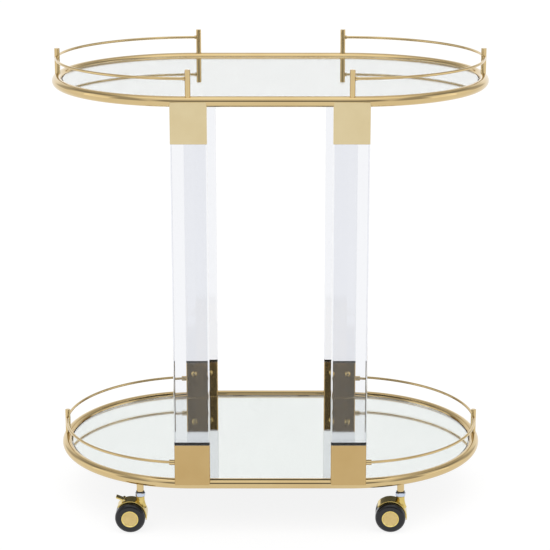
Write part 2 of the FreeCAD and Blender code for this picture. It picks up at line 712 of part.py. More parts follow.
def lever_pin(name):
    pin = body(name)
    section = sketch(pin, "XZ")
    circle(section, PIN_X, PIN_Z, "Dims.lever_pin_dia")
    pad(pin, section, "Dims.lever_width + 2 * Dims.lever_gap + 2 * Dims.lever_ear_thick", symmetric=True)
    return pin


def axle(name):
    rod = body(name)
    section = sketch(rod, "XZ")
    circle(section, "0", "0", "Dims.axle_dia")
    pad(rod, section, f"2 * ({WHEEL_END} - Dims.cap_recess - Dims.axle_end_gap)", symmetric=True)
    return rod


def wheel(name):
    """A solid wheel on the +Y side of the web, round-shouldered outside, with a recess for the cap."""
    tread = body(name)
    bore_r = "(Dims.axle_dia / 2 + Dims.running_fit)"
    recess = f"({WHEEL_END} - Dims.cap_recess)"
    turn(tread, outline(sketch(tread, "XY"), [
        (bore_r, WHEEL_START),
        (f"{WHEEL_R} - Dims.wheel_chamfer", WHEEL_START),
        (WHEEL_R, f"{WHEEL_START} + Dims.wheel_chamfer"),
        (WHEEL_R, f"{WHEEL_END} - Dims.wheel_shoulder", "Dims.wheel_shoulder"),
        (f"{WHEEL_R} - Dims.wheel_shoulder", WHEEL_END),
        ("Dims.cap_dia / 2 + Dims.cap_fit", WHEEL_END),
        ("Dims.cap_dia / 2 + Dims.cap_fit", recess),
        (bore_r, recess),
    ]))
    return tread


def hub_cap(name):
    """A pressed brass cap with a raised rim and a slightly crowned middle."""
    cap = body(name)
    back = f"({WHEEL_END} - Dims.cap_recess)"
    rim = "(Dims.cap_dia / 2)"
    rim_top = f"({WHEEL_END} + Dims.cap_rim_rise)"
    field_r = f"({rim} - Dims.cap_rim_width)"
    field = f"({WHEEL_END} - Dims.cap_field_drop)"
    crown_radius = f"({field_r}^2 + Dims.cap_crown^2) / (2 * Dims.cap_crown)"
    turn(cap, outline(sketch(cap, "XY"), [
        ("0", back),
        (rim, back),
        (rim, f"{rim_top} - Dims.cap_rim_bevel"),
        (f"{rim} - Dims.cap_rim_bevel", rim_top),
        (f"{field_r} + Dims.cap_rim_rise", rim_top),
        (field_r, field, crown_radius),
        ("0", f"{field} + Dims.cap_crown"),
    ]))
    return cap


# ---- tray frames, mirrors and what carries them ----
loops = {}
for tray, height in TRAYS.items():
    loops[tray] = tray_loop(f"{tray}_loop", height, TUBE_R)
    bore = tray_loop(f"{tray}_bore", height, f"{TUBE_R} - Dims.tube_wall")
    keep(cut(f"{tray}_tube", loops[tray], bore), f"{tray}_tray_tube")
    keep(mirror(f"{tray}_glass", height), f"{tray}_mirror")

tab = shelf_tab()
bumper = turned("bumper", [
    ("0", f"{MIRROR_BOTTOM} - Dims.bumper_thick"),
    ("Dims.bumper_dia / 2", f"{MIRROR_BOTTOM} - Dims.bumper_thick"),
    ("Dims.bumper_dia / 2", MIRROR_BOTTOM),
    ("0", MIRROR_BOTTOM),
])
all_tabs = tab_places(UPPER_TRAY) + tab_places(LOWER_TRAY)
tabs_uncut = copies("tabs_uncut", group("tab_master", [tab]), all_tabs)
keep(cut("tabs", tabs_uncut, loops["upper"], loops["lower"]), "shelf_tabs")
bumper_at_tab = group("bumper_master", [place(bumper, y=f"{TUBE_R} + Dims.tab_reach * Dims.bumper_share")])
keep(copies("bumpers", bumper_at_tab, all_tabs), "shelf_bumpers")

# ---- sockets, uprights and their screws ----
for corner, side_x, side_y in CORNERS:
    spot = {
        "x": f"{side_x} * {UPRIGHT_X}",
        "y": f"{side_y} * {centreline_y(UPRIGHT_X)}",
        "angle": "0" if side_y < 0 else "180",
    }
    low = socket(f"lower_{corner}_sleeve", "Dims.lower_socket_rise", "(Dims.mirror_rise + Dims.socket_seat_gap)")
    place(low, z=LOWER_TRAY, **spot)
    keep(cut(f"lower_{corner}_coped", low, loops["lower"]), f"lower_{corner}_socket")
    high = socket(f"upper_{corner}_sleeve", "(-Dims.upper_socket_drop)",
                  f"({MIRROR_BOTTOM} - Dims.socket_seat_gap)")
    place(high, z=UPPER_TRAY, **spot)
    keep(cut(f"upper_{corner}_coped", high, loops["upper"]), f"upper_{corner}_socket")
    keep(place(upright(f"{corner}_bar"), **spot), f"{corner}_upright")
keep(copies("screws", socket_screw(), screw_places()), "socket_screws")

# ---- gallery rails, posts, collars and ferrules ----
SIDE_POST_X = f"({STRAIGHT} - Dims.side_post_inset)"
SOCKET_SIDE_X = f"({UPRIGHT_X} + Dims.socket_width / 2)"
LOWER_RAIL_SWEEP = f"2 * acos(({SOCKET_SIDE_X} + Dims.rail_end_gap - {STRAIGHT}) / {BEND_R}) / 1 deg"
FERRULE_X = f"({SOCKET_SIDE_X} + Dims.ferrule_length / 2)"
rails = []
for side_name, side in (("left", -1), ("right", 1)):
    height = f"{UPPER_TRAY} + Dims.rail_rise"
    pieces = [bent_bar(f"upper_{side_name}_rail_bend", side, height, RAIL_R)]
    for side_y in (-1, 1):
        start = SIDE_POST_X if side > 0 else f"-{STRAIGHT}"
        pieces.append(bar_along_x(f"upper_{side_name}_rail_end", start, "Dims.side_post_inset",
                                  f"{side_y} * {BEND_R}", height, RAIL_R))
    rails.append(keep(fuse(f"upper_{side_name}_bar", pieces), f"upper_{side_name}_rail"))
    low_bend = bent_bar(f"lower_{side_name}_bar", side, f"{LOWER_TRAY} + Dims.rail_rise", RAIL_R,
                        LOWER_RAIL_SWEEP)
    rails.append(keep(low_bend, f"lower_{side_name}_rail"))

post = gallery_post()
side_places = [{"x": f"{side_x} * {SIDE_POST_X}", "y": f"{side_y} * {BEND_R}", "z": UPPER_TRAY}
               for name, side_x, side_y in CORNERS]
side_posts = copies("side_posts_uncut", post, side_places)
keep(cut("side_posts", side_posts, loops["upper"], rails[0], rails[2]), "upper_side_posts")
for tray, first_rail in (("upper", 0), ("lower", 1)):
    end_places = [{"x": f"{side} * ({STRAIGHT} + {BEND_R})", "z": TRAYS[tray]} for side in (-1, 1)]
    end_posts = copies(f"{tray}_end_posts_uncut", post, end_places)
    keep(cut(f"{tray}_ends", end_posts, loops[tray], rails[first_rail], rails[first_rail + 2]),
         f"{tray}_end_posts")

collars = []
ferrules = []
for corner, side_x, side_y in CORNERS:
    post_side = f"{SIDE_POST_X} + {POST_R}"
    start = post_side if side_x > 0 else f"-({post_side} + Dims.collar_length)"
    collars.append(bar_along_x(f"{corner}_collar", start, "Dims.collar_length", f"{side_y} * {BEND_R}",
                               f"{UPPER_TRAY} + Dims.rail_rise", "Dims.collar_dia / 2"))
    start = SOCKET_SIDE_X if side_x > 0 else f"-({SOCKET_SIDE_X} + Dims.ferrule_length)"
    ferrules.append(bar_along_x(f"{corner}_ferrule", start, "Dims.ferrule_length",
                                f"{side_y} * {centreline_y(FERRULE_X)}",
                                f"{LOWER_TRAY} + Dims.rail_rise", "Dims.ferrule_dia / 2"))
post_tools = copies("collar_posts", post, side_places)
keep(cut("collars", group("collars_uncut", collars), rails[0], rails[2], post_tools), "upper_rail_collars")
keep(cut("ferrules", group("ferrules_uncut", ferrules), rails[1], rails[3]), "lower_rail_ferrules")

# ---- casters: fixed bosses, washers and stems ----
stem_places = [stem_place(side_x, side_y) for name, side_x, side_y in CORNERS]
keep(cut("bosses", copies("bosses_uncut", caster_boss(), stem_places), loops["lower"]), "caster_bosses")
keep(copies("washers", caster_washer(), stem_places), "caster_washers")
keep(copies("stems", stem(), stem_places), "caster_stems")

# ---- casters: swivelling hoods, axles, wheels, caps and brake levers ----
for corner, side_x, side_y in CORNERS:
    braked = corner in BRAKED_CASTERS
    spot = axle_place(corner, side_x, side_y)
    keep(place(hood(f"{corner}_hood", braked), **spot), f"{corner}_caster_hood")
    keep(place(axle(f"{corner}_rod"), **spot), f"{corner}_caster_axle")
    for label, half_turn in (("rear", 0), ("front", 180)):
        wheel_spot = axle_place(corner, side_x, side_y, half_turn)
        keep(place(wheel(f"{corner}_{label}_tyre"), **wheel_spot), f"{corner}_caster_{label}_wheel")
        keep(place(hub_cap(f"{corner}_{label}_disc"), **wheel_spot), f"{corner}_caster_{label}_cap")
    if braked:
        keep(place(brake_lever(f"{corner}_tread"), **spot), f"{corner}_brake_lever")
        keep(place(lever_pin(f"{corner}_pin"), **spot), f"{corner}_brake_pin")

doc.recompute()

# ---- check everything, then write one file for each sub-part ----
for item in doc.Objects:
    if "Invalid" in item.State or "Error" in item.State:
        raise RuntimeError(f"{item.Name} ({item.Label}) failed: {item.State}")
for part in sub_parts:
    if part.Shape.isNull() or not part.Shape.isValid() or not part.Shape.Solids:
        raise RuntimeError(f"{part.Label} has no valid solid")

os.makedirs("parts", exist_ok=True)
for part in sub_parts:
    part.Shape.exportStep(f"parts/{part.Label}.step")
    print(f"{part.Label}: {len(part.Shape.Solids)} solid(s), {part.Shape.Volume / 1000:.2f} cm3")
print(f"{len(sub_parts)} sub-parts written")
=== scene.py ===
import json
import math

import bmesh
import bpy
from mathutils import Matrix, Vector


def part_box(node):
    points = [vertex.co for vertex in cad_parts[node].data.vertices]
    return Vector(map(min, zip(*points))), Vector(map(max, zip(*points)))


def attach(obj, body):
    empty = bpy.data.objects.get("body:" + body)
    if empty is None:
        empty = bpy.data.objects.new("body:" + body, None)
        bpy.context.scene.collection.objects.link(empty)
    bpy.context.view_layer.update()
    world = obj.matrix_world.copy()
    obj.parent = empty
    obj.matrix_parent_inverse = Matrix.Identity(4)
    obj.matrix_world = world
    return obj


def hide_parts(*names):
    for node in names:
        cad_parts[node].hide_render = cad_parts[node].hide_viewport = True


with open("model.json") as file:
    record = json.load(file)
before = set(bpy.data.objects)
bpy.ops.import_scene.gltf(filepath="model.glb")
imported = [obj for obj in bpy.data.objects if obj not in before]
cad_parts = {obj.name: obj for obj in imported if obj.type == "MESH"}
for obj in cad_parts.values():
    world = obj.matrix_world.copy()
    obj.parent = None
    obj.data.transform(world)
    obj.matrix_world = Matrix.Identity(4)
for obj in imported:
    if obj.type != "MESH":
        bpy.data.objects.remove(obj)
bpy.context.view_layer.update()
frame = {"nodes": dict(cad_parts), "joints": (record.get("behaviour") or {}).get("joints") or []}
bpy.ops.object.select_all(action="DESELECT")


# ---------------------------------------------------------------- studio: floor, tent and lights
# The cart stands on a lit white table, so its shadow stays faint. A white tent stands round it,
# with a dim opening in front where the camera looks in, grey flags at both sides and a greyer
# ceiling behind: the polished metal shows them as soft bands.

def linear(hex_colour):
    """An sRGB hex colour as linear RGBA."""
    channels = [int(hex_colour[i:i + 2], 16) / 255 for i in (1, 3, 5)]
    return [c / 12.92 if c <= 0.04045 else ((c + 0.055) / 1.055) ** 2.4 for c in channels] + [1.0]


def add_node(tree, kind, settings=None, **inputs):
    """Add a shader node. An input is named with _ for a space, or by its number as i0, i1."""
    node = tree.nodes.new(kind)
    for name, value in (settings or {}).items():
        setattr(node, name, value)
    for name, value in inputs.items():
        numbered = name[0] == "i" and name[1:].isdigit()
        socket = node.inputs[int(name[1:]) if numbered else name.replace("_", " ")]
        if isinstance(value, bpy.types.NodeSocket):
            tree.links.new(value, socket)
        else:
            socket.default_value = value
    return node


scene = bpy.context.scene
scene.view_settings.view_transform = "Standard"

tent = bpy.data.worlds.new("studio_tent")
scene.world = tent
tent.use_nodes = True
tree = tent.node_tree
tree.nodes.clear()
direction = add_node(tree, "ShaderNodeTexCoord").outputs["Generated"]
split = add_node(tree, "ShaderNodeSeparateXYZ", Vector=direction)
# Each stop is a height or a sideways direction, and the tent's brightness there.
FRONT_BRIGHTNESS = [(0.0, 1.0), (0.04, 0.95), (0.10, 0.62), (0.18, 0.30), (0.32, 0.12), (0.46, 0.14),
                    (0.54, 0.60), (0.62, 1.0), (0.98, 1.06)]
REAR_BRIGHTNESS = [(0.0, 1.10), (0.27, 1.10), (0.34, 0.97), (0.42, 0.95), (0.56, 0.62), (0.80, 0.62),
                   (0.98, 0.90)]
BESIDE_BRIGHTNESS = [(0.0, 1.0), (0.05, 1.0), (0.15, 0.85), (0.98, 0.9)]
SIDE_FLAGS = [(0.0, 1.0), (0.50, 1.0), (0.66, 0.55), (0.82, 0.55), (0.94, 1.0)]


def brightness_along(place, stops):
    """Grey level of the tent by one direction: height (Z) from the horizon up, or sideways (X)."""
    ramp = add_node(tree, "ShaderNodeValToRGB", Fac=place)
    band = ramp.color_ramp
    band.interpolation = "EASE"
    while len(band.elements) < len(stops):
        band.elements.new(0.5)
    for element, (position, level) in zip(band.elements, stops):
        element.position = position
        element.color = (level, level, level, 1.0)
    return ramp.outputs["Color"]


absolute = add_node(tree, "ShaderNodeMath", {"operation": "ABSOLUTE"}, i0=split.outputs["X"])
sideways = absolute.outputs["Value"]
beside = add_node(tree, "ShaderNodeMapRange", {"interpolation_type": "SMOOTHSTEP"}, Value=sideways,
                  From_Min=0.28, From_Max=0.55)
front_grey = add_node(tree, "ShaderNodeMixRGB", Fac=beside.outputs["Result"],
                      Color1=brightness_along(split.outputs["Z"], FRONT_BRIGHTNESS),
                      Color2=brightness_along(split.outputs["Z"], BESIDE_BRIGHTNESS))
above_table = add_node(tree, "ShaderNodeMapRange", {"interpolation_type": "SMOOTHSTEP"},
                       Value=split.outputs["Z"], From_Min=0.03, From_Max=0.12)
behind = add_node(tree, "ShaderNodeMapRange", {"interpolation_type": "SMOOTHSTEP"},
                  Value=split.outputs["Y"], From_Min=-0.12, From_Max=0.12)
tent_grey = add_node(tree, "ShaderNodeMixRGB", Fac=behind.outputs["Result"],
                     Color1=front_grey.outputs["Color"],
                     Color2=brightness_along(split.outputs["Z"], REAR_BRIGHTNESS))
flagged = add_node(tree, "ShaderNodeMixRGB", {"blend_type": "MULTIPLY"}, Fac=above_table.outputs["Result"],
                   Color1=tent_grey.outputs["Color"],
                   Color2=brightness_along(sideways, SIDE_FLAGS))
glow = add_node(tree, "ShaderNodeBackground", Color=flagged.outputs["Color"], Strength=1.0)
add_node(tree, "ShaderNodeOutputWorld", Surface=glow.outputs["Background"])

bpy.ops.mesh.primitive_circle_add(vertices=96, radius=18, fill_type="NGON", location=(0, 0, 0))
floor = bpy.context.object
floor.name = "lit_table"
table_top = bpy.data.materials.new("opal_acrylic_backlit")
table_top.use_nodes = True
shader = table_top.node_tree.nodes["Principled BSDF"]
shader.inputs["Base Color"].default_value = linear("#868686")
shader.inputs["Roughness"].default_value = 0.9
shader.inputs["Specular IOR Level"].default_value = 0.0
shader.inputs["Emission Color"].default_value = linear("#ffffff")
shader.inputs["Emission Strength"].default_value = 0.86
floor.data.materials.append(table_top)

for name, place, size, power in (("overhead", (0.0, 0.2, 3.0), (3.2, 2.6), 8),
                                 ("left_side", (-3.2, -0.6, 1.6), (1.6, 2.2), 4),
                                 ("right_side", (3.2, -0.6, 1.6), (1.6, 2.2), 4)):
    softbox = bpy.data.lights.new(name, "AREA")
    softbox.shape = "RECTANGLE"
    softbox.size, softbox.size_y = size
    softbox.energy = power
    lamp = bpy.data.objects.new(name, softbox)
    lamp.location = place
    lamp.rotation_euler = (Vector((0, 0, 0.4)) - Vector(place)).to_track_quat("-Z", "Y").to_euler()
    scene.collection.objects.link(lamp)

lens = bpy.data.cameras.new("front_camera")
lens.sensor_width = 36
lens.lens = 124.98
camera = bpy.data.objects.new("front_camera", lens)
camera.location = (0.0076, -3.1565, 1.2404)
camera.rotation_euler = (math.radians(74.74), 0, 0)
scene.collection.objects.link(camera)
scene.camera = camera


# ---------------------------------------------------------------- tray tubes
# Two closed ovals of 17 mm steel tube, bent, butt-welded and polished before plating. Brass-gold
# plate over nickel: almost a mirror, with faint buffing lines and a few soft wipe marks.

def new_material(name, colour, **inputs):
    """A material whose shader holds what is the same all over the surface."""
    material = bpy.data.materials.new(name)
    material.use_nodes = True
    shader = material.node_tree.nodes["Principled BSDF"]
    shader.inputs["Base Color"].default_value = linear(colour)
    for socket, value in inputs.items():
        shader.inputs[socket.replace("_", " ")].default_value = value
    return material


def polish(material, colour, worn, mottle_mm, line_mm, rough, depth_mm):
    """Give a finish its skin: patches of colour, wipe marks in the gloss and fine relief."""
    tree = material.node_tree
    shader = tree.nodes["Principled BSDF"]
    place = add_node(tree, "ShaderNodeTexCoord").outputs["Object"]
    patches = add_node(tree, "ShaderNodeTexNoise", Vector=place, Scale=1000 / mottle_mm, Detail=3.0)
    tint = add_node(tree, "ShaderNodeMixRGB", Fac=patches.outputs["Fac"], Color1=linear(colour),
                    Color2=linear(worn))
    tree.links.new(tint.outputs["Color"], shader.inputs["Base Color"])
    wipes = add_node(tree, "ShaderNodeTexNoise", Vector=place, Scale=1000 / (mottle_mm * 0.4), Detail=5.0,
                     Distortion=1.2)
    gloss = add_node(tree, "ShaderNodeMapRange", Value=wipes.outputs["Fac"], From_Min=0.35, From_Max=0.7,
                     To_Min=rough, To_Max=rough * 2.2)
    tree.links.new(gloss.outputs["Result"], shader.inputs["Roughness"])
    lines = add_node(tree, "ShaderNodeTexNoise", Vector=place, Scale=1000 / line_mm, Detail=4.0)
    relief = add_node(tree, "ShaderNodeBump", Height=lines.outputs["Fac"], Strength=1.0,
                      Distance=depth_mm / 1000)
    tree.links.new(relief.outputs["Normal"], shader.inputs["Normal"])
    return material


# brass-gold electroplate, buffed: pale yellow gold, patches of slightly deeper plate 90 mm wide
GOLD, DEEP_GOLD = "#d8c293", "#c8ad7a"
gold_plate = polish(new_material("brass_gold_electroplate_buffed", GOLD, Metallic=1.0), GOLD, DEEP_GOLD,
                    mottle_mm=90, line_mm=6, rough=0.02, depth_mm=0.003)


def box_of(node):
    """The lowest and highest corners of a CAD node, in metres."""
    low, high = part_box(node)
    return Vector(low), Vector(high)


def take(piece):
    """Make a piece the only selected and active object."""
    bpy.ops.object.select_all(action="DESELECT")
    piece.select_set(True)
    bpy.context.view_layer.objects.active = piece
    return piece


def pick(piece, kind, test):
    """In edit mode, select only the corners, edges or faces whose middle passes a test."""
    bpy.ops.mesh.select_mode(type=kind)
    bpy.ops.mesh.select_all(action="DESELECT")
    mesh = bmesh.from_edit_mesh(piece.data)
    for item in {"VERT": mesh.verts, "EDGE": mesh.edges, "FACE": mesh.faces}[kind]:
        if kind == "VERT":
            passes = test(item.co)
        elif kind == "EDGE":
            passes = all(test(corner.co) for corner in item.verts)
        else:
            passes = test(item.calc_center_median(), item.normal)
        if passes:
            item.select_set(True)
    mesh.select_flush_mode()
    bmesh.update_edit_mesh(piece.data)


def finish_piece(piece, name, material, body, stands_for, smooth_angle=40):
    """Put a piece's place in its mesh, smooth it, keep its flats flat and hang it on its CAD body."""
    take(piece)
    bpy.ops.object.transform_apply(location=True, rotation=True, scale=True)
    bpy.ops.object.shade_smooth_by_angle(angle=math.radians(smooth_angle))
    flat_stays_flat = piece.modifiers.new("flat_stays_flat", "WEIGHTED_NORMAL")
    flat_stays_flat.keep_sharp = True
    bpy.ops.object.modifier_apply(modifier=flat_stays_flat.name)
    piece.name = name
    piece.data.name = name
    piece.data.materials.clear()
    piece.data.materials.append(material)
    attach(piece, body)
    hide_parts(stands_for)
    return piece


def half_oval(bend, straight, bar_radius, height, trim, run, rings, sides):
    """A round bar bent round the right end of a tray. trim cuts it back, run carries it straight on."""
    bpy.ops.mesh.primitive_torus_add(major_segments=rings, minor_segments=sides, major_radius=bend,
                                     minor_radius=bar_radius, location=(0, 0, height))
    bar = bpy.context.object
    bpy.ops.object.mode_set(mode="EDIT")
    bpy.ops.mesh.select_all(action="SELECT")
    bpy.ops.mesh.bisect(plane_co=(trim, 0, height), plane_no=(1, 0, 0), clear_inner=True, threshold=1e-6)
    bpy.ops.mesh.select_all(action="SELECT")
    bpy.ops.transform.translate(value=(straight, 0, 0))
    start = straight + trim
    if run:
        pick(bar, "EDGE", lambda spot: abs(spot.x - start) < 1e-5)
        bpy.ops.mesh.extrude_edges_move(TRANSFORM_OT_translate={"value": (-run, 0, 0)})
    bpy.ops.object.mode_set(mode="OBJECT")
    return bar


def close_ends(bar):
    """Close a bar's two open ends."""
    take(bar)
    bpy.ops.object.mode_set(mode="EDIT")
    bpy.ops.mesh.select_all(action="SELECT")
    bpy.ops.mesh.fill_holes(sides=0)
    bpy.ops.mesh.select_all(action="SELECT")
    bpy.ops.mesh.normals_make_consistent(inside=False)
    bpy.ops.object.mode_set(mode="OBJECT")
    return bar


def apply_all(piece):
    """Apply a piece's modifiers in their order."""
    take(piece)
    for modifier in list(piece.modifiers):
        bpy.ops.object.modifier_apply(modifier=modifier.name)


TUBE_RADIUS = 0.0085
tube_low, tube_high = box_of("upper_tray_tube")
BEND = round((tube_high.y - tube_low.y) / 2 - TUBE_RADIUS, 4)
STRAIGHT = round((tube_high.x - tube_low.x) / 2 - BEND - TUBE_RADIUS, 4)
tube_height = {}
for tray in ("upper", "lower"):
    tube_low, tube_high = box_of(f"{tray}_tray_tube")
    tube_height[tray] = (tube_low.z + tube_high.z) / 2
    oval = half_oval(BEND, STRAIGHT, TUBE_RADIUS, tube_height[tray], 0, STRAIGHT, rings=256, sides=48)
    mirrored = oval.modifiers.new("other_half", "MIRROR")
    mirrored.merge_threshold = 1e-5
    apply_all(oval)
    bpy.ops.object.mode_set(mode="EDIT")
    bpy.ops.mesh.select_all(action="SELECT")
    bpy.ops.mesh.normals_make_consistent(inside=False)
    bpy.ops.object.mode_set(mode="OBJECT")
    finish_piece(oval, f"{tray}_tray_oval", gold_plate, "cart_frame",
                 f"{tray}_tray_tube")


# ---------------------------------------------------------------- mirrors
# 5 mm float glass, silvered on the back and painted grey over the silver. The glass stands apart
# from the silver, so a thing on it is mirrored a glass thickness away from where it stands.

# soda-lime float glass, polished edge: clear, with hardly any green cast
float_glass = new_material("soda_lime_float_glass", "#fdfffe", Transmission_Weight=1.0, IOR=1.52,
                           Roughness=0.0)
tree = float_glass.node_tree
place = add_node(tree, "ShaderNodeTexCoord").outputs["Object"]
ream = add_node(tree, "ShaderNodeTexNoise", Vector=place, Scale=1000 / 160, Detail=1.0)
wave = add_node(tree, "ShaderNodeBump", Height=ream.outputs["Fac"], Strength=1.0, Distance=0.00002)
tree.links.new(wave.outputs["Normal"], tree.nodes["Principled BSDF"].inputs["Normal"])

# chemically deposited silver behind the glass: a perfect mirror, faintly cloudy in patches about 120 mm
# wide
SILVER, SILVER_RIM = "#fdfdfd", "#f6f8f7"
silvering = new_material("silver_mirror_deposited", SILVER, Metallic=1.0, Roughness=0.0)
tree = silvering.node_tree
place = add_node(tree, "ShaderNodeTexCoord").outputs["Object"]
cloud = add_node(tree, "ShaderNodeTexNoise", Vector=place, Scale=1000 / 120, Detail=2.0)
veil = add_node(tree, "ShaderNodeMixRGB", Fac=cloud.outputs["Fac"], Color1=linear(SILVER),
                Color2=linear(SILVER_RIM))
tree.links.new(veil.outputs["Color"], tree.nodes["Principled BSDF"].inputs["Base Color"])

# alkyd mirror-back paint, curtain coated: flat grey with roller mottle 4 mm wide
BACK_GREY, BACK_GREY_PALE = "#35383b", "#42464a"
back_paint = new_material("alkyd_back_paint_grey", BACK_GREY, Roughness=0.55)
tree = back_paint.node_tree
place = add_node(tree, "ShaderNodeTexCoord").outputs["Object"]
mottle = add_node(tree, "ShaderNodeTexNoise", Vector=place, Scale=1000 / 4, Detail=3.0)
coat = add_node(tree, "ShaderNodeMixRGB", Fac=mottle.outputs["Fac"], Color1=linear(BACK_GREY),
                Color2=linear(BACK_GREY_PALE))
tree.links.new(coat.outputs["Color"], tree.nodes["Principled BSDF"].inputs["Base Color"])
peel = add_node(tree, "ShaderNodeBump", Height=mottle.outputs["Fac"], Strength=0.6, Distance=0.00004)
tree.links.new(peel.outputs["Normal"], tree.nodes["Principled BSDF"].inputs["Normal"])


def oval_plate(end_radius, low, high, arris):
    """A flat plate with round ends, its edges ground to a small bevel."""
    corners = 256
    bpy.ops.mesh.primitive_cylinder_add(vertices=corners, radius=end_radius, depth=high - low,
                                        location=(0, 0, (low + high) / 2),
                                        rotation=(0, 0, math.pi / corners))
    plate = bpy.context.object
    bpy.ops.object.transform_apply(location=True, rotation=True, scale=True)
    bpy.ops.object.mode_set(mode="EDIT")
    for side in (-1, 1):
        pick(plate, "VERT", lambda spot: spot.x * side > 0)
        bpy.ops.transform.translate(value=(side * STRAIGHT, 0, 0))
    bpy.ops.object.mode_set(mode="OBJECT")
    ground = plate.modifiers.new("arris", "BEVEL")
    ground.width = arris
    ground.segments = 2
    ground.limit_method = "ANGLE"
    apply_all(plate)
    return plate


SILVER_THICK = 0.0002
SILVER_GAP = 0.00002
SILVER_INSET = 0.0008
for tray in ("upper", "lower"):
    glass_low, glass_high = box_of(f"{tray}_mirror")
    end_radius = glass_high.y
    silver_top = glass_low.z + SILVER_THICK
    glass = oval_plate(end_radius, silver_top + SILVER_GAP, glass_high.z, arris=0.0007)
    finish_piece(glass, f"{tray}_mirror_glass", float_glass, "cart_frame", f"{tray}_mirror",
                 smooth_angle=30)
    silver = oval_plate(end_radius - SILVER_INSET, glass_low.z, silver_top, arris=0.00004)
    finish_piece(silver, f"{tray}_mirror_silver", silvering, "cart_frame", f"{tray}_mirror",
                 smooth_angle=30)
    silver.data.materials.append(back_paint)
    for face in silver.data.polygons:
        face.material_index = 0 if face.normal.z > 0.9 else 1


# ---------------------------------------------------------------- shelf tabs and bumpers
# Sheared steel tabs, welded inside the tube and plated with it, and the clear self-adhesive
# bumpers that the glass lies on. Both are the CAD's own shapes.

def dress(material, *names):
    """Give CAD nodes a finish."""
    for name in names:
        for holder in frame["nodes"][name].material_slots:
            holder.material = material


dress(gold_plate, "shelf_tabs")
# polyurethane bumper, cast: water-clear and soft, with a slightly cloudy skin
bumper_clear = new_material("polyurethane_cast_clear", "#eef1f0", Transmission_Weight=0.85, IOR=1.5)
tree = bumper_clear.node_tree
place = add_node(tree, "ShaderNodeTexCoord").outputs["Object"]
skin = add_node(tree, "ShaderNodeTexNoise", Vector=place, Scale=1000 / 1.5, Detail=2.0)
haze = add_node(tree, "ShaderNodeMapRange", Value=skin.outputs["Fac"], To_Min=0.12, To_Max=0.35)
tree.links.new(haze.outputs["Result"], tree.nodes["Principled BSDF"].inputs["Roughness"])
dress(bumper_clear, "shelf_bumpers")


# ---------------------------------------------------------------- uprights
# Four solid bars of clear acrylic, sawn from thick sheet, diamond-polished and eased at the long
# edges. A tenon at each end sits in a metal socket, so the acrylic and the metal are flush outside.

# cast acrylic (PMMA), diamond-polished: crystal clear with a faint cool cast in its depth
acrylic = new_material("acrylic_cast_diamond_polished", "#f0f1f4", Transmission_Weight=1.0, IOR=1.49,
                       Roughness=0.0)
tree = acrylic.node_tree
place = add_node(tree, "ShaderNodeTexCoord").outputs["Object"]
cutter = add_node(tree, "ShaderNodeMapping", Vector=place, Scale=(1, 1, 0.02))
marks = add_node(tree, "ShaderNodeTexNoise", Vector=cutter.outputs["Vector"], Scale=1000 / 3, Detail=2.0)
ripple = add_node(tree, "ShaderNodeBump", Height=marks.outputs["Fac"], Strength=1.0, Distance=0.0000012)
tree.links.new(ripple.outputs["Normal"], tree.nodes["Principled BSDF"].inputs["Normal"])
CORNERS = (("front_left", -1, -1), ("front_right", 1, -1), ("rear_left", -1, 1), ("rear_right", 1, 1))
dress(acrylic, *[f"{corner}_upright" for corner, side_x, side_y in CORNERS])


# ---------------------------------------------------------------- sockets
# Rectangular sleeves folded from 1.5 mm steel, welded over the tray tubes, ground smooth and gold
# plated. The wall towards the tray stops at the glass, and the open end takes the acrylic tenon.

# brass-gold electroplate on ground flats, one plate painted in two tones: the upper sleeves painted paler
# as a painted highlight of the bright floor they mirror, the lower ones painted darker as painted shade of
# the shadowed floor under the cart
sleeve_plate_painted_light_and_shade = {}
for tray, name, colour, worn in (("upper", "brass_gold_electroplate_ground", "#dccda6", "#cfbc90"),
                                 ("lower", "brass_gold_electroplate_deep", "#c6ab78", "#b99b66")):
    sleeve_plate_painted_light_and_shade[tray] = polish(new_material(name, colour, Metallic=1.0), colour, worn, mottle_mm=45,
                                line_mm=3, rough=0.06, depth_mm=0.003)
SOCKET_WALL = 0.0015
SOCKET_CORNER = 0.0025
SOCKET_EASE = 0.0002
SOCKET_HOLLOW = 0.8
SOCKET_PROUD = 0.00025
SEAT_GAP = 0.0001
TUBE_TO_FACE = TUBE_RADIUS + SOCKET_PROUD


